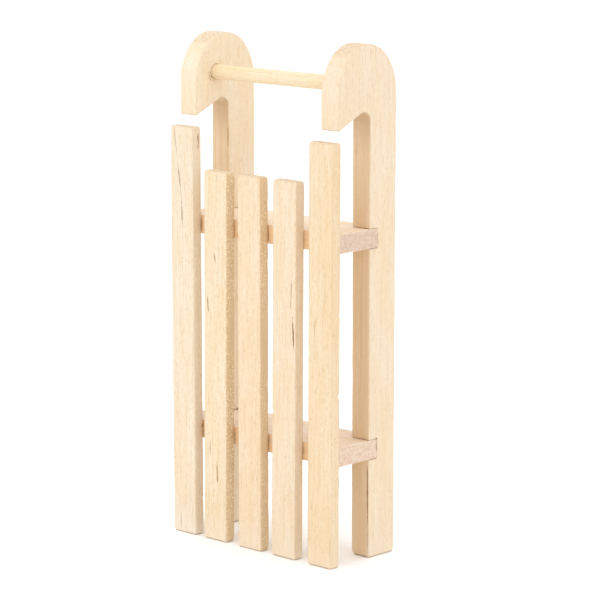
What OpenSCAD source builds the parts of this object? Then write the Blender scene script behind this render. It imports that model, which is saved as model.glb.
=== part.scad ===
// Miniature wooden sledge, glued from ten pieces of plain pale wood: two cane-shaped runners, two
// crossbars let into them, five deck slats and a round tow rod between the heads.
// It stands on its tail, the way it is displayed. +Z runs from the tail to the heads, the deck
// faces -Y, the soles of the runners face +Y, and the origin is the middle of the footprint.

/* [Overall] */
// Width across the outer faces of the two runners
width = 56.8; // [48:0.1:80]
// Depth from the face of the deck to the soles of the runners
depth = 24.8; // [20:0.1:34]
// Height from the tail to the top of the arched heads
height = 134; // [100:0.5:180]

/* [Slats] */
// Width of one slat
slat_w = 8.2; // [5:0.1:9.5]
// Thickness of one slat
slat_t = 3.1; // [1.6:0.1:4]
// Gap between the end of an outer slat and the tip of the head behind it
tip_gap = 2.6; // [1:0.1:8]
// How much shorter the three inner slats are than the two outer ones
inner_shortfall = 10.8; // [0:0.1:20]
// How far the outer slats stand out past the ends of the crossbars
slat_proud = 0.15; // [0:0.05:1]
// How far each slat was glued off its even place, from left to right
slat_drift = [-0.1, -0.45, -0.3, -0.15, 0.25]; // [-1:0.05:1]
// Angle at which each slat was glued, from left to right: more than 0 leans to the right
slat_lean = [-0.15, 0.4, 0, 0.4, 0.25]; // [-1:0.05:1]

/* [Crossbars] */
// Thickness of a crossbar, measured along the sledge
crossbar_t = 5.1; // [3:0.1:8]
// Distance from the tail to the near face of the rear crossbar
rear_inset = 26.3; // [10:0.1:32]
// Distance from the ends of the inner slats to the near face of the front crossbar
front_inset = 12.5; // [5:0.1:20]
// Depth of the notches at the ends of a crossbar, which leave it deeper between the runners
notch_d = 2.8; // [0.5:0.1:4]
// How far the ends of a crossbar stand out past the runners
crossbar_proud = 0.25; // [0:0.05:1]

/* [Runners] */
// Thickness of a runner, measured across the sledge
runner_t = 6; // [4:0.1:9]
// Depth of the straight bar of a runner
bar_d = 9.9; // [7:0.1:12]
// Depth of the housings that the crossbars sit in
housing_d = 3; // [1:0.1:4]

/* [Runner heads] */
// How much taller the arch is than a half circle
arch_lift = 1.65; // [0:0.05:4]
// Radius of the crown as a share of half the span of the arch
crown_share = 0.9; // [0.6:0.01:0.95]
// Drop from the foot of the arch to the tip at the front of the head
tip_drop = 8.9; // [5:0.1:12]
// Slope of the underside of the head, rising from the tip
underside_angle = 24.7; // [15:0.1:32]
// Radius of the root where the underside turns down into the bar
root_r = 2.2; // [1:0.1:3]

/* [Tow rod] */
// Diameter of the rod
rod_d = 4; // [2:0.1:6]
// Distance from the front of a head back to the axis of the rod
rod_setback = 7.5; // [5:0.1:10]
// Distance from the top of a head down to the axis of the rod
rod_drop = 10.2; // [7:0.1:13]
// Depth of the blind hole for the rod in each head
socket_depth = 3; // [1:0.1:3.5]

/* [Fits and edges] */
// Gap between a crossbar and each side of its housing, and each inner face of the runners
housing_gap = 0.05; // [0:0.01:0.2]
// Gap all round the rod in its blind holes
socket_gap = 0.3; // [0:0.05:0.5]
// Radius of the worn edges of the slats and crossbars
edge_r = 0.5; // [0.2:0.05:0.7]

/* [Hidden] */

// Planes that the pieces share, from the deck's face back to the soles
deck_y = -depth / 2;
slat_back_y = deck_y + slat_t;
sole_y = depth / 2;
bar_y = sole_y - bar_d;
housing_y = bar_y + housing_d;
crossbar_back_y = housing_y + notch_d;

// The head: its arch spans from the backs of the slats to the sole
half_span = (sole_y - slat_back_y) / 2;
arch_rise = half_span + arch_lift;
arch_y = slat_back_y + half_span;
arch_foot_z = height - arch_rise;
tip_z = arch_foot_z - tip_drop;

// Three arcs that meet smoothly: a crown, and a wider arc on each side that springs upright
crown_r = crown_share * half_span;
crown_z = arch_rise - crown_r;
side_r = (pow(half_span, 2) - pow(crown_r, 2) + pow(crown_z, 2)) / (2 * (half_span - crown_r));
arc_join_z = side_r * crown_z / (side_r - crown_r);

// The root: a circle that touches both the sloping underside and the front of the bar
root_y = bar_y - root_r;
root_z = tip_z + (root_y - slat_back_y) * tan(underside_angle) - root_r / cos(underside_angle);
root_touch = [root_y - root_r * sin(underside_angle), root_z + root_r * cos(underside_angle)];

// Lengths and places along the sledge
outer_slat_len = tip_z - tip_gap;
inner_slat_len = outer_slat_len - inner_shortfall;
front_crossbar_z = inner_slat_len - front_inset - crossbar_t;
rod_y = slat_back_y + rod_setback;
rod_z = height - rod_drop;

// Lengths and places across the sledge
crossbar_len = width + 2 * crossbar_proud;
notch_x = width / 2 - runner_t - housing_gap;
slat_pitch = (crossbar_len / 2 + slat_proud - slat_w / 2) / 2;
rod_len = width - 2 * runner_t + 2 * socket_depth;

// Cutters run past what they cut by this much
over = 1;
$fn = 96;

runner_colour = [0.95, 0.86, 0.72];
crossbar_colour = [0.92, 0.80, 0.66];
slat_colour = [0.97, 0.88, 0.74];
rod_colour = [0.98, 0.92, 0.76];

// Rectangle with rounded corners, centred
module worn_rectangle(w, h) {
    square([w, h - 2 * edge_r], center = true);
    square([w - 2 * edge_r, h], center = true);
    for (x = [-1, 1], y = [-1, 1])
        translate([x * (w / 2 - edge_r), y * (h / 2 - edge_r)]) circle(edge_r);
}

// Block of sawn wood with all its edges rounded, centred
module worn_block(w, d, h) {
    intersection() {
        linear_extrude(h, center = true) worn_rectangle(w, d);
        rotate([90, 0, 0]) linear_extrude(d, center = true) worn_rectangle(w, h);
        rotate([90, 0, 90]) linear_extrude(w, center = true) worn_rectangle(d, h);
    }
}

// Arch of the head, standing on the middle of its foot
module arch() {
    translate([0, crown_z]) circle(crown_r);
    intersection() {
        translate([half_span - side_r, 0]) circle(side_r);
        translate([side_r - half_span, 0]) circle(side_r);
        translate([-half_span, 0]) square([2 * half_span, arc_join_z]);
    }
}

// Open space under the head: below the sloping underside and in front of the bar
module hook_gap() {
    gap_floor_z = min(tip_z, root_z) - over;
    translate([root_y, root_z]) circle(root_r);
    polygon([
        [slat_back_y - over, tip_z - over * tan(underside_angle)],
        root_touch,
        [root_y, root_z],
        [bar_y, root_z],
        [bar_y, gap_floor_z],
        [slat_back_y - over, gap_floor_z]
    ]);
}

// Housing that takes a crossbar whose lower face is at height z
module housing(z) {
    translate([bar_y - over, z - housing_gap])
        square([housing_d + over, crossbar_t + 2 * housing_gap]);
}

// Side view of a runner, with Y to the right and Z up
module runner_outline() {
    difference() {
        union() {
            translate([arch_y, arch_foot_z]) arch();
            translate([slat_back_y, tip_z]) square([2 * half_span, tip_drop]);
            translate([bar_y, 0]) square([bar_d, arch_foot_z]);
        }
        hook_gap();
        housing(rear_inset);
        housing(front_crossbar_z);
    }
}

// Runner on the right-hand side, with the blind hole in its inner face
module runner() {
    inner_x = width / 2 - runner_t;
    difference() {
        translate([inner_x, 0, 0]) rotate([90, 0, 90]) linear_extrude(runner_t) runner_outline();
        translate([inner_x - over, rod_y, rod_z]) rotate([0, 90, 0])
            cylinder(r = rod_d / 2 + socket_gap, h = socket_depth + over);
    }
}

// Crossbar whose lower face is at height z. Its ends are notched where they sit in the housings.
module crossbar(z) {
    difference() {
        translate([0, (slat_back_y + crossbar_back_y) / 2, z + crossbar_t / 2])
            worn_block(crossbar_len, crossbar_back_y - slat_back_y, crossbar_t);
        for (side = [0, 1]) mirror([side, 0, 0]) translate([notch_x, housing_y, z - over])
            cube([crossbar_len / 2 - notch_x + over, notch_d + over, crossbar_t + 2 * over]);
    }
}

// Slat counted from the left. It leans a little, and its lower corner stands on the ground.
module slat(index, len) {
    lean = slat_lean[index];
    x = (index - 2) * slat_pitch + slat_drift[index];
    z = len / 2 * cos(lean) + slat_w / 2 * sin(abs(lean));
    translate([x, deck_y + slat_t / 2, z]) rotate([0, lean, 0]) worn_block(slat_w, slat_t, len);
}

module left_runner() { color(runner_colour) mirror([1, 0, 0]) runner(); }
module right_runner() { color(runner_colour) runner(); }
module rear_crossbar() { color(crossbar_colour) crossbar(rear_inset); }
module front_crossbar() { color(crossbar_colour) crossbar(front_crossbar_z); }
module left_outer_slat() { color(slat_colour) slat(0, outer_slat_len); }
module left_inner_slat() { color(slat_colour) slat(1, inner_slat_len); }
module centre_slat() { color(slat_colour) slat(2, inner_slat_len); }
module right_inner_slat() { color(slat_colour) slat(3, inner_slat_len); }
module right_outer_slat() { color(slat_colour) slat(4, outer_slat_len); }

// Round rod whose ends stand on the floors of the two blind holes
module tow_rod() {
    color(rod_colour) translate([0, rod_y, rod_z]) rotate([0, 90, 0])
        cylinder(d = rod_d, h = rod_len, center = true);
}

left_runner();
right_runner();
rear_crossbar();
front_crossbar();
left_outer_slat();
left_inner_slat();
centre_slat();
right_inner_slat();
right_outer_slat();
tow_rod();
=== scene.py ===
import math

import bpy
import numpy as np
from mathutils import Matrix, Vector


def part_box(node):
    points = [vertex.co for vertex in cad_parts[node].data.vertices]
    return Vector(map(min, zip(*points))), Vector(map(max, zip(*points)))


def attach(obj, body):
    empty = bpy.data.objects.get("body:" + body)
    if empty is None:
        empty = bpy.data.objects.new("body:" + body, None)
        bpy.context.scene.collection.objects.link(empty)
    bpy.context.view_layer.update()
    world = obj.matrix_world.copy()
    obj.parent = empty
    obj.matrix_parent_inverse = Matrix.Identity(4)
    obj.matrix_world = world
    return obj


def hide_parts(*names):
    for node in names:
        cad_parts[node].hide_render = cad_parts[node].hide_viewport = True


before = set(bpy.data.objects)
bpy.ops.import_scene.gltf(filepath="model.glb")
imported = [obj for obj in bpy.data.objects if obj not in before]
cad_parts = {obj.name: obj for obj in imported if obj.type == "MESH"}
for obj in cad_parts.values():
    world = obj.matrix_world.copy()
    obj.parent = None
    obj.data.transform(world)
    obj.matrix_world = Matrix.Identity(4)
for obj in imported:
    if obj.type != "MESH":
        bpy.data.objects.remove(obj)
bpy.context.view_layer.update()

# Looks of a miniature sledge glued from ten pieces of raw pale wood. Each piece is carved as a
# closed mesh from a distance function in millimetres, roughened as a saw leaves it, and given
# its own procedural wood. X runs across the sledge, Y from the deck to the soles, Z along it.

MM = 0.001


def box_mm(node):
    """Lowest and highest corner of a CAD node, in millimetres."""
    low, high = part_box(node)
    return np.array(low) / MM, np.array(high) / MM


# ---------------------------------------------------------------- sizes, in millimetres

RUNNER_LOW, RUNNER_HIGH = box_mm("right_runner")
FRONT_BAR_LOW, FRONT_BAR_HIGH = box_mm("front_crossbar")
REAR_BAR_LOW, REAR_BAR_HIGH = box_mm("rear_crossbar")
ROD_LOW, ROD_HIGH = box_mm("tow_rod")

# Sizes that the CAD gives the runners, what is let into them, and the slats
BAR_DEPTH = 9.9
HOUSING_DEPTH = 3.0
HOUSING_GAP = 0.05
ARCH_LIFT = 1.65
CROWN_SHARE = 0.9
TIP_DROP = 8.9
UNDERSIDE = math.radians(24.7)
ROOT_RADIUS = 2.2
SOCKET_DEPTH = 3.0
SOCKET_RADIUS = 1.97
SLAT_WIDTH = 8.2

# Radius of the nick that the saw left in the upper corner of each housing
REAR_OVERCUT, FRONT_OVERCUT = 0.35, 0.08

INNER_X, OUTER_X = RUNNER_LOW[0], RUNNER_HIGH[0]
HEAD_Y, SOLE_Y = RUNNER_LOW[1], RUNNER_HIGH[1]
BAR_Y = SOLE_Y - BAR_DEPTH
HOUSING_Y = BAR_Y + HOUSING_DEPTH
HALF_SPAN = (SOLE_Y - HEAD_Y) / 2
ARCH_Y = HEAD_Y + HALF_SPAN
ARCH_FOOT_Z = RUNNER_HIGH[2] - HALF_SPAN - ARCH_LIFT
TIP_Z = ARCH_FOOT_Z - TIP_DROP
CROWN_RADIUS = CROWN_SHARE * HALF_SPAN
CROWN_Z = HALF_SPAN + ARCH_LIFT - CROWN_RADIUS
SIDE_RADIUS = (HALF_SPAN**2 - CROWN_RADIUS**2 + CROWN_Z**2) / (2 * (HALF_SPAN - CROWN_RADIUS))
ROD_Y, ROD_Z = (ROD_LOW[1] + ROD_HIGH[1]) / 2, (ROD_LOW[2] + ROD_HIGH[2]) / 2
ROD_RADIUS = (ROD_HIGH[2] - ROD_LOW[2]) / 2
RUNNER_HALF = (OUTER_X - INNER_X) / 2
FACE_Y, BAR_FACE_Y = box_mm("centre_slat")[0][1], FRONT_BAR_LOW[1]

# Spacing of the grid that the pieces are carved on, where it shows most and where it shows least
FINE, COARSE = 0.26, 0.34

# Radius that edges are worn to, and the nicks on the long edges of each slat and crossbar
SLAT_WEAR, CROSSBAR_WEAR, RUNNER_WEAR = 0.2, 0.22, 0.25
NICK_COUNT = 5

# Spacing of the saw marks, and how far each kind of roughness moves the surface
SAW_PITCH = 1.4
FIBRE_HEIGHT, WAVE_HEIGHT, SAW_HEIGHT, FUZZ_HEIGHT, SETBACK = 0.014, 0.03, 0.012, 0.13, 0.015

# Angle at which each slat was glued, in degrees, as in the CAD
SLAT_LEAN = {
    "left_outer_slat": -0.15,
    "left_inner_slat": 0.4,
    "centre_slat": 0.0,
    "right_inner_slat": 0.4,
    "right_outer_slat": 0.25,
}


# ---------------------------------------------------------------- noise and distances


def noise(points, size, seed):
    """Smooth noise from -1 to 1 at points (..., 3), with bumps about size across."""
    table = np.random.default_rng(seed).uniform(-1, 1, (32, 32, 32))
    q = points / np.array(size, float) + 100.5
    cell = np.floor(q).astype(int)
    f = q - cell
    w = f * f * (3 - 2 * f)
    total = 0
    for corner in np.ndindex(2, 2, 2):
        near = (cell + corner) % 32
        weight = np.where(corner, w, 1 - w).prod(-1)
        total = total + weight * table[near[..., 0], near[..., 1], near[..., 2]]
    return total


def soft_step(value, low, high):
    """0 below low, 1 above high, smooth between."""
    t = np.clip((value - low) / (high - low), 0, 1)
    return t * t * (3 - 2 * t)


def soft_max(a, b, k):
    """Larger of two distances, with the crease between them rounded over about k."""
    h = np.clip(0.5 - 0.5 * (a - b) / k, 0, 1)
    return a + (b - a) * h + k * h * (1 - h)


def round_block(p, half, radius):
    """Distance to a block with rounded edges. p is measured from its middle."""
    q = np.abs(p) - half + radius[..., None]
    outside = np.linalg.norm(np.maximum(q, 0), axis=-1)
    return outside + np.minimum(q.max(-1), 0) - radius


def dents(p, centres, radii):
    """Distance to a few balls that press dents into an edge."""
    nearest = np.full(p.shape[:-1], 1e3)
    for centre, radius in zip(centres, radii):
        nearest = np.minimum(nearest, np.linalg.norm(p - centre, axis=-1) - radius)
    return nearest


# ---------------------------------------------------------------- carving a mesh


def steps(low, high, coarse, fine, bands=()):
    """Grid lines from low to high, coarse, but fine near both ends and in the given bands."""
    margin = 5 * fine
    bands = [(low - margin, low + margin), (high - margin, high + margin), *bands]
    line, lines = low - 3 * fine, []
    while line < high + 3 * fine:
        lines.append(line)
        line += fine if any(a <= line <= b for a, b in bands) else coarse
    return np.array(lines + [high + 3.5 * fine])


def contour(distance, axes):
    """Closed quad mesh where distance is zero: one vertex in each grid cell that it crosses."""
    grid = np.stack(np.meshgrid(*axes, indexing="ij"), -1)
    value = distance(grid)
    inside = value < 0
    nx, ny, nz = (n - 1 for n in inside.shape)

    def corner(values, offset):
        i, j, k = offset
        return values[i:i + nx, j:j + ny, k:k + nz]

    total, count = np.zeros((nx, ny, nz, 3)), np.zeros((nx, ny, nz))
    for start in np.ndindex(2, 2, 2):
        for axis in range(3):
            if start[axis]:
                continue
            end = tuple(v + (n == axis) for n, v in enumerate(start))
            a, b = corner(value, start), corner(value, end)
            crosses = (a < 0) != (b < 0)
            share = np.where(crosses, a / np.where(crosses, a - b, 1), 0)[..., None]
            point = corner(grid, start) * (1 - share) + corner(grid, end) * share
            total += np.where(crosses[..., None], point, 0)
            count += crosses
    used = count > 0
    index = np.full(used.shape, -1)
    index[used] = np.arange(used.sum())
    points = total[used] / count[used][:, None]

    quads = []
    for axis in range(3):
        order = (axis, (axis + 1) % 3, (axis + 2) % 3)
        solid, cell = np.transpose(inside, order), np.transpose(index, order)
        first, last = solid[:-1, 1:-1, 1:-1], solid[1:, 1:-1, 1:-1]
        around = [cell[:, :-1, :-1], cell[:, 1:, :-1], cell[:, 1:, 1:], cell[:, :-1, 1:]]
        quad = np.stack(around, -1)
        quads += [quad[first & ~last], quad[last & ~first][:, ::-1]]
    return points, np.concatenate(quads)


def slope_of(distance, points, reach=0.01):
    """Direction in which a distance grows at each point, and how fast."""
    slope = np.empty_like(points)
    for axis in range(3):
        step = np.eye(3)[axis] * reach
        slope[:, axis] = (distance(points + step) - distance(points - step)) / (2 * reach)
    return slope


def carve(distance, axes, passes=4):
    """Quad mesh of a shape, its points drawn onto the true surface, and its normals."""
    points, quads = contour(distance, axes)
    for _ in range(passes):
        slope = slope_of(distance, points)
        steep = np.maximum((slope**2).sum(-1), 0.25)
        points = points - slope * (distance(points) / steep)[:, None]
    normals = slope_of(distance, points)
    normals /= np.maximum(np.linalg.norm(normals, axis=-1), 1e-6)[:, None]
    return points, quads, normals


def slivers(roots, directions, lengths, widths, seed):
    """Torn fibres: thin closed spikes that bend as they taper. Returns points and quads."""
    rng = np.random.default_rng(seed)
    rings, sides = 5, 4
    points, quads = [], []
    for root, direction, length, width in zip(roots, directions, lengths, widths):
        direction = direction / np.linalg.norm(direction)
        across = np.cross(direction, rng.normal(size=3))
        across /= np.linalg.norm(across)
        other = np.cross(direction, across)
        bend = across * length * rng.uniform(-0.5, 0.5)
        first = len(points)
        for ring in range(rings):
            t = ring / (rings - 1)
            middle = root + direction * length * (t - 0.1) + bend * t * t
            radius = width / 2 * (1 - t) ** 0.7 + 0.008
            for side in range(sides):
                turn = math.tau * side / sides
                spoke = across * math.cos(turn) + other * math.sin(turn) * 0.6
                points.append(middle + spoke * radius)
        for ring in range(rings - 1):
            for side in range(sides):
                a, b = first + ring * sides + side, first + ring * sides + (side + 1) % sides
                quads.append((a, b, b + sides, a + sides))
        last = first + (rings - 1) * sides
        quads += [(first + 3, first + 2, first + 1, first), (last, last + 1, last + 2, last + 3)]
    return np.array(points), np.array(quads)


def join(points, quads, more_points, more_quads):
    """Two meshes as one."""
    return np.concatenate([points, more_points]), np.concatenate([quads, more_quads + len(points)])


def build(name, points, quads, attributes):
    """Blender object from points in millimetres, with point attributes for its material."""
    mesh = bpy.data.meshes.new(name)
    mesh.from_pydata((points * MM).tolist(), [], quads.tolist())
    for key, values in attributes.items():
        kind = "FLOAT_VECTOR" if values.ndim == 2 else "FLOAT"
        attribute = mesh.attributes.new(key, kind, "POINT")
        field = "vector" if values.ndim == 2 else "value"
        attribute.data.foreach_set(field, values.astype(np.float32).ravel())
    mesh.validate()
    mesh.shade_smooth()
    piece = bpy.data.objects.new(name, mesh)
    bpy.context.scene.collection.objects.link(piece)
    return piece


# ---------------------------------------------------------------- shapes of the pieces


def nicks(half, along, count, seed):
    """Centres and radii of small balls that nick the long edges of a block."""
    rng = np.random.default_rng(seed)
    across = [axis for axis in range(3) if axis != along]
    centres, radii = [], []
    for _ in range(count):
        side = rng.choice([-1, 1], 2)
        radius, depth = rng.uniform(0.5, 1.3), rng.uniform(0.05, 0.2)
        centre = np.zeros(3)
        centre[across] = side * (half[across] - 0.15 + (radius - depth) * math.sqrt(0.5))
        centre[along] = rng.uniform(-1, 1) * half[along]
        centres.append(centre)
        radii.append(radius)
    return centres, radii


def block(half, along, seed, wear):
    """Distance function of a sawn block with nicked edges, worn round to about wear."""
    balls = nicks(half, along, NICK_COUNT, seed)

    def distance(p):
        near_end = soft_step(np.abs(p[..., along]) - half[along], -2.2, 0)
        radius = wear * (1 + 0.35 * noise(p, (4, 4, 4), seed) + 1.6 * near_end)
        return soft_max(round_block(p, half, radius), -dents(p, *balls), 0.15)

    return distance


def crossbar(low, high, seed):
    """Distance function of a crossbar whose ends are notched to sit in the runners."""
    half, middle = (high - low) / 2, (low + high) / 2
    whole = block(half, 0, seed, CROSSBAR_WEAR)

    def distance(p):
        past_runner = INNER_X - HOUSING_GAP - np.abs(p[..., 0])
        notch = np.maximum(past_runner, HOUSING_Y - middle[1] - p[..., 1])
        return soft_max(whole(p), -notch, 0.1)

    return distance


def outline(y, z):
    """Distance to the side view of a runner: a bar that ends in an arched head with a hook."""
    u, v = np.abs(y - ARCH_Y), z - ARCH_FOOT_Z
    side_y = HALF_SPAN - SIDE_RADIUS
    side = np.hypot(u - side_y, v) - SIDE_RADIUS
    crown = np.hypot(u, v - CROWN_Z) - CROWN_RADIUS
    arch = np.where(-side_y * v > CROWN_Z * (u - side_y), crown, side)
    whole = soft_max(np.where(v < 0, u - HALF_SPAN, arch), -z, 0.3)
    lean, rise = math.sin(UNDERSIDE), math.cos(UNDERSIDE)
    below = (z - TIP_Z) * rise - (y - HEAD_Y) * lean
    root_y = BAR_Y - ROOT_RADIUS
    root_z = TIP_Z + ((root_y - HEAD_Y) * lean - ROOT_RADIUS) / rise
    qy, qz = y - root_y, z - root_z
    corner = (qz > 0) & (qy * rise + qz * lean > 0)
    gap = np.where(corner, np.hypot(qy, qz) - ROOT_RADIUS, np.maximum(y - BAR_Y, below))
    crease = 0.3 + 0.9 * soft_step(-z, -3, 0)
    return soft_max(whole, -gap, crease)


def runner(inward, seed, rim_chips):
    """Distance function of a runner. x is measured from the middle of its thickness."""
    rim_chips = np.array(rim_chips)
    balls = rim_chips[:, :3], rim_chips[:, 3]
    housings = ((REAR_BAR_LOW[2], REAR_BAR_HIGH[2], REAR_OVERCUT),
                (FRONT_BAR_LOW[2], FRONT_BAR_HIGH[2], FRONT_OVERCUT))

    def distance(p):
        x, y, z = p[..., 0], p[..., 1], p[..., 2]
        near_tail = soft_step(-z, -2.5, 0)
        wear = RUNNER_WEAR * (1 + 0.4 * noise(p, (5, 5, 5), seed) + 1.8 * near_tail)
        q = np.stack([outline(y, z) + wear, np.abs(x) - RUNNER_HALF + wear], -1)
        d = np.linalg.norm(np.maximum(q, 0), axis=-1) + np.minimum(q.max(-1), 0) - wear
        for low, high, overcut in housings:
            beyond = np.maximum(low - HOUSING_GAP - z, z - high - HOUSING_GAP)
            housing = np.maximum(beyond, y - HOUSING_Y - HOUSING_GAP)
            corner = np.hypot(y - HOUSING_Y, z - high) - overcut
            d = soft_max(d, -np.minimum(housing, corner), 0.1)
        floor = RUNNER_HALF - SOCKET_DEPTH - x * inward
        socket = np.maximum(np.hypot(y - ROD_Y, z - ROD_Z) - SOCKET_RADIUS, floor)
        d = soft_max(d, -socket, 0.2)
        return soft_max(d, -dents(p, *balls), 0.15)

    return distance


def rod(half_length, seed):
    """Distance function of a turned stick, along X, not quite round and lightly grooved."""

    def distance(p):
        around = p * (0, 1, 1)
        groove = noise(p, (26, 0.5, 0.5), seed) * 0.035 + noise(p, (60, 2, 2), seed + 1) * 0.06
        bend = noise(p * (1, 0, 0), (30, 1, 1), seed + 2) * 0.06
        side = np.linalg.norm(around - bend[..., None] * (0, 0.4, 1), axis=-1)
        return soft_max(side - ROD_RADIUS + 0.03 + groove, np.abs(p[..., 0]) - half_length, 0.3)

    return distance


# ---------------------------------------------------------------- sawn surface


def lengthwise(points, along, seed):
    """Coordinates for the grain: two across it, the third along it, in a plank of its own."""
    across = [axis for axis in range(3) if axis != along]
    offset = np.random.default_rng(seed).uniform(-40, 40, 3)
    return points[:, across + [along]] + offset


def roughen(points, normals, grain, fuzz, seed):
    """Points moved along their normals by fibres, saw marks, gentle waves and torn fuzz."""
    fibre = noise(grain, (0.5, 0.5, 9), seed)
    wave = noise(grain, (6, 6, 20), seed + 1)
    drift = noise(grain, (7, 7, 7), seed + 2) * 1.5
    strength = noise(grain, (9, 9, 12), seed + 3)
    saw = np.sin(math.tau * (grain[:, 2] + drift) / SAW_PITCH) * strength
    torn = noise(grain, (0.35, 0.35, 0.5), seed + 4) + 0.6 * noise(grain, (0.9, 0.9, 2), seed + 5)
    height = (FIBRE_HEIGHT * fibre + WAVE_HEIGHT * wave + SAW_HEIGHT * saw
              + FUZZ_HEIGHT * fuzz * torn - SETBACK)
    return points + normals * height[:, None]


def edge_mask(normals):
    """1 on worn edges, where a surface turns, and 0 on flat faces."""
    return soft_step(1 - np.abs(normals).max(-1), 0.04, 0.22)


def root_shade(points):
    """1 just under the root of a head, where the head above shades the runner, else 0: where shade
    is painted.
    """
    y, z = points[:, 1], points[:, 2]
    return soft_step(z, TIP_Z - 9, TIP_Z + 3) * soft_step(z, 40, 60) * (y < SOLE_Y - 3)


def make_piece(node, mesh, along, place, material, seed, fuzz=None, painted_shade=None, torn=None):
    """Finished piece in the place of a CAD node. place turns and moves it from its own frame."""
    points, quads, normals = mesh
    fuzz, painted_shade = (np.zeros(len(points)) + (f(points, normals) if f else 0) for f in (fuzz, painted_shade))
    grain = lengthwise(points, along, seed)
    ends = soft_step(np.abs(normals[:, along]), 0.6, 0.85)
    edges = edge_mask(normals)
    points = roughen(points, normals, grain, fuzz, seed)
    if torn:
        spikes = slivers(*torn)
        extra = len(spikes[0])
        points, quads = join(points, quads, *spikes)
        grain = np.concatenate([grain, lengthwise(spikes[0], along, seed)])
        fuzz, painted_shade, ends, edges = (
            np.concatenate([mask, np.full(extra, value)])
            for mask, value in ((fuzz, 1.0), (painted_shade, 0.0), (ends, 0.0), (edges, 0.5)))
    turn, move = place
    points = points @ turn.T + move
    # Two of these masks mark painted shade: faces that sit in shade, and the runner just under
    # each head.
    attributes = {"grain": grain, "place": points, "fuzz": fuzz, "painted_shade": painted_shade,
                  "ends": ends, "edges": edges, "root": root_shade(points) * painted_shade}
    piece = build("wood_" + node, points, quads, attributes)
    piece.data.materials.append(material)
    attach(piece, "root")
    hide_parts(node)
    return piece


def leaning(degrees):
    """Turn about the Y axis. More than 0 leans the top to the right."""
    return np.array(Matrix.Rotation(math.radians(degrees), 3, "Y"))


# ---------------------------------------------------------------- shader nodes


class Graph:
    """Short way to add and link the nodes of one material."""

    def __init__(self, tree):
        self.tree = tree

    def feed(self, socket, value):
        if isinstance(value, bpy.types.NodeSocket):
            self.tree.links.new(value, socket)
        else:
            socket.default_value = value

    def add(self, kind, inputs, output=0, **settings):
        node = self.tree.nodes.new(kind)
        for key, value in settings.items():
            setattr(node, key, value)
        for key, value in inputs.items():
            self.feed(node.inputs[key], value)
        return node.outputs[output]

    def attribute(self, name, output):
        return self.add("ShaderNodeAttribute", {}, output, attribute_name=name)

    def math(self, operation, *values):
        return self.add("ShaderNodeMath", dict(enumerate(values)), operation=operation)

    def vector(self, operation, *values, output=0):
        inputs = dict(enumerate(values))
        return self.add("ShaderNodeVectorMath", inputs, output, operation=operation)

    def noise(self, place, detail=2.0, roughness=0.5):
        """Noise from about 0.2 to 0.8, with bumps one unit across."""
        inputs = {"Vector": place, "Scale": 1.0, "Detail": detail, "Roughness": roughness}
        return self.add("ShaderNodeTexNoise", inputs)

    def ease(self, value, low, high, start=0.0, end=1.0):
        """start where value is below low, end where it is above high, smooth between."""
        inputs = {"Value": value, 1: low, 2: high, 3: start, 4: end}
        return self.add("ShaderNodeMapRange", inputs, interpolation_type="SMOOTHSTEP")

    def patches(self, place, scale, low, high, detail, roughness):
        """1 in patches of noise and 0 between them. scale is bumps per millimetre, each way."""
        return self.ease(self.noise(self.scaled(place, scale), detail, roughness), low, high)

    def scaled(self, place, scale):
        return self.vector("MULTIPLY", place, scale)

    def mix(self, share, a, b):
        inputs = {0: share, 6: a, 7: b}
        return self.add("ShaderNodeMix", inputs, 2, data_type="RGBA")

    def weighted(self, *pairs):
        """Sum of values, each with its weight."""
        total = 0.0
        for value, weight in pairs:
            total = self.math("MULTIPLY_ADD", value, weight, total)
        return total


def streak(g, place, start, end, width):
    """1 on a thin stain from start to end, in millimetres, with ragged sides, and 0 elsewhere."""
    start, end = Vector(start), Vector(end)
    run = end - start
    ragged = g.noise(g.scaled(place, (1.3, 1.3, 0.5)))
    offset = g.vector("SUBTRACT", place, tuple(start))
    reach = g.vector("DOT_PRODUCT", offset, tuple(run / run.length_squared), output=1)
    reach = g.math("MINIMUM", g.math("MAXIMUM", reach, 0.0), 1.0)
    nearest = g.vector("SCALE", tuple(run))
    g.feed(nearest.node.inputs["Scale"], reach)
    gap = g.vector("LENGTH", g.vector("SUBTRACT", offset, nearest), output=1)
    bent = g.math("MULTIPLY_ADD", g.math("SUBTRACT", ragged, 0.5), width * 1.1, gap)
    # 0 at both ends and a quarter half way, where the stain is widest
    middle = g.math("SUBTRACT", reach, g.math("MULTIPLY", reach, reach))
    taper = g.math("MULTIPLY_ADD", middle, -1.6 * width, 0.85 * width)
    return g.ease(g.math("ADD", bent, taper), width * 0.7, width * 1.05, 1.0, 0.0)


def shade(colour, red, green, blue):
    """A colour multiplied channel by channel, as RGBA."""
    return (colour[0] * red, colour[1] * green, colour[2] * blue, 1.0)


# What each mark multiplies the tone of its piece by, in red, green and blue
BLOTCH = (0.99, 0.945, 0.86)
FIBRE_MARK = (0.86, 0.73, 0.53)
TORN_FIBRE = (1.20, 1.18, 1.10)
END_GRAIN = (0.96, 0.93, 0.88)
END_MARK = (0.80, 0.72, 0.62)
# Painted shade under the root of each head
PAINTED_ROOT_SHADE = (0.62, 0.48, 0.34)
# Brown of the real stains, also used for the glue and painted shade in the crossbar joints
STAIN_AND_SEAM_SHADE = (0.33, 0.19, 0.07)
# Painted light low on the lit faces, and a painted contact shadow where a piece stands on the
# table
PAINTED_FOOT_LIGHT = (1.06, 1.08, 1.13)
PAINTED_CONTACT_SHADOW = (0.66, 0.50, 0.33)

# How far the rings and the saw marks wander, in millimetres for each unit of slow noise
RING_WANDER, SAW_WANDER = 9.0, 6.0

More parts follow.
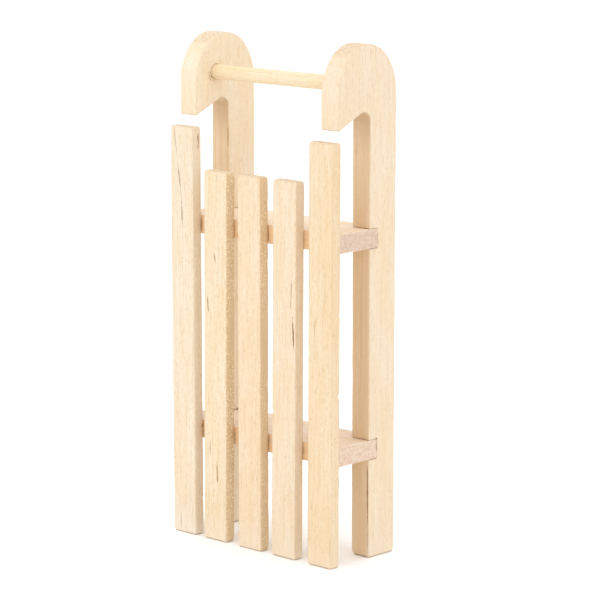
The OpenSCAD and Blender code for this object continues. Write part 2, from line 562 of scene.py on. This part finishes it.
# Patches in the wood: (bumps per millimetre twice across the grain and once along it, where the
# noise starts to show and where it is full, detail, roughness)
PATCHES = {
    "blotch": ((0.16, 0.16, 0.05), 0.35, 0.65, 3, 0.5),
    "streaky": ((0.75, 0.75, 0.03), 0.36, 0.62, 3, 0.6),
    "pores": ((4.0, 4.0, 0.7), 0.58, 0.74, 1, 0.5),
    "pale": ((-3.5, 3.5, 0.9), 0.56, 0.76, 1, 0.5),
    "specks": ((3.2, 3.2, 2.2), 0.5, 0.7, 3, 0.7),
    "mottle": ((2.2, 2.2, 1.6), 0.45, 0.68, 4, 0.8),
    "torn": ((-2.4, 2.4, 2.0), 0.53, 0.60, 3, 0.7),
    "cut": ((4.5, 4.5, 0.3), 0.42, 0.68, 3, 0.7),
    "cloud": ((1.1, 1.1, 0.5), 0.40, 0.62, 3, 0.75),
}


def growth_rings(g, grain, slow, pith, ring):
    """1 in the darker late wood of each ring and 0 in the early wood."""
    radial = g.vector("SUBTRACT", g.scaled(grain, (1, 1, 0)), (*pith, 0))
    radius = g.math("MULTIPLY_ADD", slow, RING_WANDER, g.vector("LENGTH", radial, output=1))
    phase = g.math("FRACT", g.math("DIVIDE", radius, ring))
    return g.math("MULTIPLY", g.ease(phase, 0.35, 0.9), g.ease(phase, 0.9, 1.0, 1.0, 0.0))


def saw_marks(g, grain, slow):
    """Wave from -1 to 1 along the grain, whose spacing wanders."""
    along = g.vector("DOT_PRODUCT", grain, (0, 0, 1), output=1)
    wander = g.math("MULTIPLY_ADD", slow, SAW_WANDER, along)
    return g.math("SINE", g.math("MULTIPLY", wander, math.tau / SAW_PITCH))


def face_colour(g, tone, shade_depth, contrast, look, mask):
    """Colour along the grain, with painted shade on the faces that sit in shade. shade_depth is
    what that painted shade multiplies the tone by.
    """
    body = g.mix(look["blotch"], (*tone, 1.0), shade(tone, *BLOTCH))
    # Painted shade: faces that sit in shade between the pieces get a darker, more orange colour.
    red, green, blue = shade_depth
    painted_shade_colour = g.mix(look["streaky"], shade(tone, red * 1.04, green * 1.06, blue * 1.1),
                 shade(tone, red * 0.97, green * 0.93, blue * 0.84))
    body = g.mix(mask["painted_shade"], body, painted_shade_colour)
    marks = g.weighted(
        (look["late"], 0.14 * contrast),
        (g.ease(look["fibre"], 0.4, 0.75), 0.42 * contrast),
        (g.ease(look["fine"], 0.45, 0.75), 0.40 * contrast),
        (look["pores"], 0.62 * contrast),
        (look["pale"], -0.50 * contrast),
        (look["specks"], 0.16 * contrast),
        (look["mottle"], 0.22 * contrast),
        (g.math("MULTIPLY", look["specks"], mask["fuzz"]), 0.75),
        (mask["edges"], 0.14),
    )
    colour = g.mix(marks, body, shade(tone, *FIBRE_MARK))
    torn = g.math("MULTIPLY", look["torn"], mask["fuzz"])
    return g.mix(torn, colour, shade(tone, *TORN_FIBRE))


def end_colour(g, tone, look):
    """Colour of end grain: cut fibres, faint rings and mottling."""
    marks = g.weighted(
        (look["cut"], 0.5),
        (look["late"], 0.12),
        (look["mottle"], 0.55),
        (look["pale"], -0.3),
        (look["cloud"], 0.55),
    )
    return g.mix(marks, (*tone, 1.0), shade(tone, *END_MARK))


def stains_and_seam_shade(g, colour, tone, place, streaks):
    """The colour with its brown stains on it; on a crossbar these are also the glue and painted
    shade in its joints.
    """
    for start, end, width, strength in streaks:
        stain = g.math("MULTIPLY", streak(g, place, start, end, width), strength)
        colour = g.mix(stain, colour, shade(tone, *STAIN_AND_SEAM_SHADE))
    return colour


def foot_light_and_shadow(g, colour, tone, place, painted_shade):
    """The colour with painted light low down on the faces without painted shade, and a painted
    contact shadow as a dark line at the foot.
    """
    height = g.vector("DOT_PRODUCT", place, (0, 0, 1), output=1)
    # Painted light low down on the faces without painted shade
    pale = g.math("MULTIPLY", g.ease(height, 0.0, 9.0, 0.35, 0.0), g.math("SUBTRACT", 1.0, painted_shade))
    colour = g.mix(pale, colour, shade(tone, *PAINTED_FOOT_LIGHT))
    # Painted contact shadow: a dark line where the piece stands on the table
    line = g.ease(height, 0.05, 0.5, 0.45, 0.0)
    return g.mix(line, colour, shade(tone, *PAINTED_CONTACT_SHADOW))


def relief(g, look, mask):
    """Bump of fibres, rings, saw marks and pores, torn open where the wood is rough."""
    height = g.weighted(
        (look["fibre"], 0.8),
        (look["fine"], 0.5),
        (look["late"], 0.15),
        (look["saw"], 0.07),
        (look["pores"], -0.6),
        (g.math("MULTIPLY", look["specks"], mask["fuzz"]), -1.2),
        (g.math("MULTIPLY", look["cut"], mask["ends"]), -0.8),
    )
    return g.add("ShaderNodeBump", {"Strength": 0.6, "Distance": 0.06 * MM, "Height": height})


def wood(name, tone, pith, ring=1.7, contrast=1.0, shade_depth=(0.88, 0.775, 0.625), end_tone=None,
         streaks=()):
    """Raw pale wood: rings round a distant pith, fibres, flecks, saw marks and stains, with
    painted shade on faces in shade and under the heads, and painted light and a painted contact
    shadow at the foot.
    """
    material = bpy.data.materials.new(name)
    material.use_nodes = True
    g = Graph(material.node_tree)
    grain, place = g.attribute("grain", 1), g.attribute("place", 1)
    mask = {key: g.attribute(key, 2) for key in ("fuzz", "painted_shade", "ends", "edges", "root")}
    look = {key: g.patches(grain, *sizes) for key, sizes in PATCHES.items()}
    slow = g.noise(g.scaled(grain, (0.08, 0.08, 0.02)), 2)
    look["fibre"] = g.noise(g.scaled(grain, (2.4, 2.4, 0.07)), 4, 0.6)
    look["fine"] = g.noise(g.scaled(grain, (7.0, 7.0, 0.25)), 2)
    look["late"] = growth_rings(g, grain, slow, pith, ring)
    look["saw"] = saw_marks(g, grain, slow)

    end_tone = end_tone or shade(tone, *END_GRAIN)[:3]
    # Painted shade just under the root of each head, on the faces that sit in shade
    under_head_shade = g.math("MULTIPLY", mask["root"], 0.45)
    colour = face_colour(g, tone, shade_depth, contrast, look, mask)
    colour = g.mix(mask["ends"], colour, end_colour(g, end_tone, look))
    colour = g.mix(under_head_shade, colour, shade(tone, *PAINTED_ROOT_SHADE))
    colour = stains_and_seam_shade(g, colour, tone, place, streaks)
    colour = foot_light_and_shadow(g, colour, tone, place, mask["painted_shade"])
    shine = g.weighted(
        (look["fibre"], 0.22),
        (mask["fuzz"], 0.12),
        (mask["edges"], -0.10),
        (look["pores"], 0.1),
    )
    shader = material.node_tree.nodes["Principled BSDF"]
    g.feed(shader.inputs["Base Color"], colour)
    g.feed(shader.inputs["Normal"], relief(g, look, mask))
    g.feed(shader.inputs["Roughness"], g.math("ADD", shine, 0.5))
    shader.inputs["Specular IOR Level"].default_value = 0.32
    return material


# ---------------------------------------------------------------- the ten pieces

# node: (tone, pith, how rough its sawn right side is, how dark the painted shade on both its sides
# is)
SLATS = {
    "left_outer_slat": ((0.80, 0.705, 0.585), (30, -80), 0.25, 0.15),
    "left_inner_slat": ((0.805, 0.69, 0.535), (-70, 40), 1.0, 1.0),
    "centre_slat": ((0.795, 0.665, 0.51), (55, 60), 0.7, 0.7),
    "right_inner_slat": ((0.79, 0.67, 0.525), (-60, -50), 0.15, 0.0),
    "right_outer_slat": ((0.785, 0.65, 0.48), (90, 25), 0.3, 0.1),
}

# node: (seed, tone, tone of its end grain, how dark the glue and painted shade in the joint behind
# its right end are)
CROSSBARS = {
    "rear_crossbar": (31, (0.87, 0.77, 0.695), (0.80, 0.635, 0.525), 0.7),
    "front_crossbar": (32, (0.90, 0.79, 0.70), (0.755, 0.60, 0.50), 0.3),
}

# node: (seed, way to the middle of the sledge, tone, how dark the painted shade on its sawn front
# is)
RUNNERS = {
    "left_runner": (41, 1, (0.835, 0.725, 0.58), 1.0),
    "right_runner": (42, -1, (0.797, 0.68, 0.54), 0.85),
}

# node: chips that broke away at the rim of the hole for the rod, each (x, y, z, radius)
CHIPS = {
    "left_runner": [
        (RUNNER_HALF + 0.2, ROD_Y - 2.1, ROD_Z - 1.5, 0.75),
        (RUNNER_HALF + 0.3, ROD_Y - 2.5, ROD_Z - 0.5, 0.65),
        (RUNNER_HALF + 0.4, ROD_Y - 0.9, ROD_Z - 2.4, 0.7),
    ],
    "right_runner": [(-RUNNER_HALF - 0.3, ROD_Y + 1.9, ROD_Z + 1.6, 0.6)],
}

# node: torn fibres at that rim, as (roots, directions, lengths, widths, seed)
TORN = {
    "left_runner": (
        np.array([[RUNNER_HALF - 0.1, ROD_Y - 2.3, ROD_Z - 1.2],
                  [RUNNER_HALF - 0.1, ROD_Y - 1.5, ROD_Z - 2.1]]),
        np.array([[0.5, 0.2, 0.9], [0.4, -0.3, 0.8]]),
        (1.1, 0.8), (0.35, 0.25), 5,
    ),
}

# node: brown stains, each (start, end, width, strength)
STAINS = {
    "left_outer_slat": [
        ((-27.9, FACE_Y, 110.5), (-26.5, FACE_Y, 101), 0.36, 0.42),
        ((-26.5, FACE_Y, 101), (-25.1, FACE_Y, 91), 0.38, 0.72),
        ((-25.1, FACE_Y, 91), (-24.8, FACE_Y, 83), 0.42, 0.95),
        ((-20.8, -10.3, 108.2), (-20.8, -10.3, 104.2), 0.55, 0.9),
        ((-25.0, FACE_Y, 77), (-24.9, FACE_Y, 72), 0.4, 0.12),
        ((-26.1, FACE_Y, 5.5), (-26.2, FACE_Y, 0.2), 0.4, 0.4),
    ],
    "left_inner_slat": [
        ((-11.8, FACE_Y, 98.6), (-11.8, FACE_Y, 96.2), 0.6, 0.3),
        ((-13.1, FACE_Y, 78), (-12.4, FACE_Y, 74.8), 0.5, 0.6),
        ((-15.7, FACE_Y, 66), (-15.2, FACE_Y, 61.6), 0.5, 0.7),
        ((-16.9, FACE_Y, 71.4), (-16.9, FACE_Y, 64.6), 0.5, 0.3),
        ((-14.9, FACE_Y, 27), (-14.8, FACE_Y, 22.6), 0.45, 0.55),
        ((-12.3, FACE_Y, 22), (-12.2, FACE_Y, 15.7), 0.5, 0.85),
        ((-17.2, FACE_Y, 20.4), (-17.2, FACE_Y, 17.4), 0.6, 0.4),
    ],
    "centre_slat": [((5.1, FACE_Y + 1, 30), (5.2, FACE_Y + 1.3, 22), 0.3, 0.2)],
    "right_inner_slat": [
        ((15.0, FACE_Y, 74.3), (14.7, FACE_Y, 66), 0.42, 0.6),
        ((15.4, FACE_Y, 64.3), (15.8, FACE_Y, 55.5), 0.62, 0.95),
        ((16.3, FACE_Y + 2, 20), (16.4, FACE_Y + 2, 11), 0.4, 0.3),
    ],
    "right_outer_slat": [
        ((23.4, FACE_Y, 66.5), (22.7, FACE_Y, 56), 0.32, 0.32),
        ((28.6, FACE_Y, 8), (28.5, FACE_Y, 1), 0.35, 0.3),
    ],
    "left_runner": [
        ((-22.6, BAR_Y, 109), (-22.5, BAR_Y, 103), 0.32, 0.7),
        ((-25, BAR_Y, 19), (-24.8, BAR_Y, 10), 0.4, 0.3),
    ],
    "right_runner": [
        ((27.9, BAR_Y, 26), (28.1, BAR_Y, 9), 0.5, 0.85),
        ((28.1, BAR_Y, 9), (28.2, BAR_Y, 1), 0.35, 0.4),
        ((25.6, BAR_Y, 81), (25.2, BAR_Y, 32), 1.0, 0.13),
        ((23.6, BAR_Y, 112), (23.9, BAR_Y, 84), 0.5, 0.16),
    ],
}


def glue_and_shade_seams(bar_low, bar_high, joint_shade):
    """Dark lines on a crossbar, glue and painted shade in the joints: beside each slat, and round
    its right end.
    """
    bottom, top = bar_low[2], bar_high[2]
    seams = []
    for node in SLATS:
        low, high = box_mm(node)
        edge = (low[0] + high[0]) / 2 + SLAT_WIDTH / 2 + 0.1
        seams.append(((edge, BAR_FACE_Y, bottom), (edge, BAR_FACE_Y, top), 0.28, 0.85))
    front, back = (bar_high[0], BAR_FACE_Y + 0.1), (bar_high[0], HOUSING_Y)
    seams.append(((*front, bottom), (*front, top), 0.4, 0.35))
    seams.append(((*back, bottom + 0.2), (*back, top), 1.0, joint_shade))
    return seams


def make_slat(node, seed):
    """One deck slat, glued at its own small lean."""
    tone, pith, rough, shade_depth = SLATS[node]
    low, high = box_mm(node)
    lean = math.radians(SLAT_LEAN[node])
    length = (high[2] - low[2] - SLAT_WIDTH * abs(math.sin(lean))) / math.cos(lean)
    half = np.array([SLAT_WIDTH, high[1] - low[1], length]) / 2
    axes = [steps(-h, h, c, FINE) for h, c in zip(half, (FINE, FINE, 0.3))]
    mesh = carve(block(half, 2, seed, SLAT_WEAR), axes)

    def fuzz(points, normals):
        patches = soft_step(noise(points, (5, 5, 14), seed + 9), -0.5, 0.4)
        return rough * patches * soft_step(normals[:, 0], 0.3, 0.8) + 0.06

    # Painted shade on both long sides, which sit in the shade of the next slats.
    def painted_shade(points, normals):
        return shade_depth * soft_step(np.abs(normals[:, 0]), 0.3, 0.8)

    material = wood("wood_" + node, tone, pith, streaks=STAINS[node])
    place = leaning(SLAT_LEAN[node]), (low + high) / 2
    make_piece(node, mesh, 2, place, material, seed, fuzz, painted_shade)


def make_crossbar(node):
    """One crossbar, with its end grain showing at both sides of the sledge."""
    seed, tone, end_tone, joint_shade = CROSSBARS[node]
    low, high = box_mm(node)
    half = (high - low) / 2
    notches = [(-INNER_X - 1, -INNER_X + 1), (INNER_X - 1, INNER_X + 1)]
    axes = [steps(-h, h, COARSE, FINE, bands) for h, bands in zip(half, (notches, (), ()))]
    mesh = carve(crossbar(low, high, seed), axes)
    material = wood("wood_" + node, tone, (-20, 45), ring=1.3, contrast=1.2,
                    shade_depth=(0.92, 0.655, 0.376), end_tone=end_tone,
                    streaks=glue_and_shade_seams(low, high, joint_shade))
    place = np.eye(3), (low + high) / 2
    # Painted shade on the front of the crossbar, which sits in shade between the slats.
    make_piece(node, mesh, 0, place, material, seed,
               fuzz=lambda points, normals: 0.2,
               painted_shade=lambda points, normals: soft_step(-normals[:, 1], 0.3, 0.8))


def make_runner(node):
    """One runner with its arched head, housings and rod socket."""
    seed, inward, tone, shade_depth = RUNNERS[node]
    low, high = box_mm(node)
    housings = [(bar[2] - 1, bar[2] + 1)
                for bar in (REAR_BAR_LOW, REAR_BAR_HIGH, FRONT_BAR_LOW, FRONT_BAR_HIGH)]
    axes = [
        steps(-RUNNER_HALF, RUNNER_HALF, COARSE, FINE),
        steps(low[1], high[1], COARSE, FINE, [(ROD_Y - 3.5, BAR_Y + 1)]),
        steps(low[2], high[2], 0.45, FINE, housings + [(TIP_Z - 2, high[2])]),
    ]
    mesh = carve(runner(inward, seed, CHIPS[node]), axes)
    material = wood("wood_" + node, tone, (35, 60), ring=2.1, contrast=0.8,
                    shade_depth=(0.92, 0.815, 0.70), streaks=STAINS[node])

    # Painted shade on the front of the bar, which sits in shade behind the slats.
    def painted_shade(points, normals):
        return shade_depth * (points[:, 1] > BAR_Y - 1) * soft_step(-normals[:, 1], 0.3, 0.8)

    place = np.eye(3), np.array([(low[0] + high[0]) / 2, 0, 0])
    make_piece(node, mesh, 2, place, material, seed,
               fuzz=lambda points, normals: 0.08, painted_shade=painted_shade, torn=TORN.get(node))


def make_rod(seed):
    """The round tow rod, glued into both heads, with two long faint streaks."""
    half = (ROD_HIGH - ROD_LOW) / 2
    axes = [steps(-h, h, c, 0.2) for h, c in zip(half, (0.4, 0.2, 0.2))]
    mesh = carve(rod(half[0] - 0.1, seed), axes)
    y, z = ROD_Y - 0.8 * ROD_RADIUS, ROD_Z + 0.55 * ROD_RADIUS
    streaks = [
        ((ROD_LOW[0], y, z + 0.2), (ROD_HIGH[0], y, z - 0.3), 0.22, 0.22),
        ((-16, y - 0.2, z - 1.3), (14, y - 0.2, z - 1.2), 0.16, 0.16),
    ]
    material = wood("wood_tow_rod", (0.82, 0.70, 0.515), (12, 18), ring=1.1, contrast=0.7,
                    streaks=streaks)
    place = np.eye(3), (ROD_LOW + ROD_HIGH) / 2
    make_piece("tow_rod", mesh, 0, place, material, seed)


for number, slat_node in enumerate(SLATS):
    make_slat(slat_node, 20 + number)
for crossbar_node in CROSSBARS:
    make_crossbar(crossbar_node)
for runner_node in RUNNERS:
    make_runner(runner_node)
make_rod(51)


# ---------------------------------------------------------------- floor, light and camera


def make_floor():
    """Plain white table top that reaches past the view, 8 m across."""
    mesh = bpy.data.meshes.new("floor")
    corners = [(x * 4.0, y * 4.0, 0) for x, y in ((-1, -1), (1, -1), (1, 1), (-1, 1))]
    mesh.from_pydata(corners, [], [(0, 1, 2, 3)])
    floor = bpy.data.objects.new("floor", mesh)
    bpy.context.scene.collection.objects.link(floor)
    material = bpy.data.materials.new("floor")
    material.use_nodes = True
    shader = material.node_tree.nodes["Principled BSDF"]
    shader.inputs["Base Color"].default_value = (0.98, 0.98, 0.98, 1)
    shader.inputs["Roughness"].default_value = 0.9
    shader.inputs["Specular IOR Level"].default_value = 0.0
    mesh.materials.append(material)


def soft_box(name, place, aim, size, watts):
    """Large square lamp that faces a point, in metres."""
    lamp = bpy.data.lights.new(name, "AREA")
    lamp.size, lamp.energy = size, watts
    lamp_object = bpy.data.objects.new(name, lamp)
    lamp_object.location = place
    toward = Vector(aim) - Vector(place)
    lamp_object.rotation_euler = toward.to_track_quat("-Z", "Y").to_euler()
    bpy.context.scene.collection.objects.link(lamp_object)


def make_world(strength):
    """Even white surroundings."""
    world = bpy.data.worlds.new("studio")
    world.use_nodes = True
    sky = world.node_tree.nodes["Background"]
    sky.inputs["Color"].default_value = (1, 1, 1, 1)
    sky.inputs["Strength"].default_value = strength
    bpy.context.scene.world = world


def make_camera(place, aim, focal_length):
    """Camera a little above the sledge, to the right of its deck. Everything in millimetres."""
    lens = bpy.data.cameras.new("camera")
    lens.lens, lens.sensor_width = focal_length, 36
    lens.clip_start, lens.clip_end = 0.01, 20
    camera = bpy.data.objects.new("camera", lens)
    camera.location = Vector(place) * MM
    toward = Vector(aim) * MM - camera.location
    camera.rotation_euler = toward.to_track_quat("-Z", "Y").to_euler()
    bpy.context.scene.collection.objects.link(camera)
    bpy.context.scene.camera = camera


make_floor()
make_world(1.02)
LIT_POINT = (0, 0, 0.07)
soft_box("key", (-0.3, -0.9, 0.8), LIT_POINT, 0.9, 2.6)
soft_box("fill", (1.0, -0.3, 0.9), LIT_POINT, 0.9, 1.7)
soft_box("top", (0.1, 0.2, 1.3), LIT_POINT, 0.8, 3.4)
make_camera((502.45, -522.21, 198.51), (3.15, 3.26, 65.12), 168.49)
bpy.context.scene.view_settings.view_transform = "Standard"
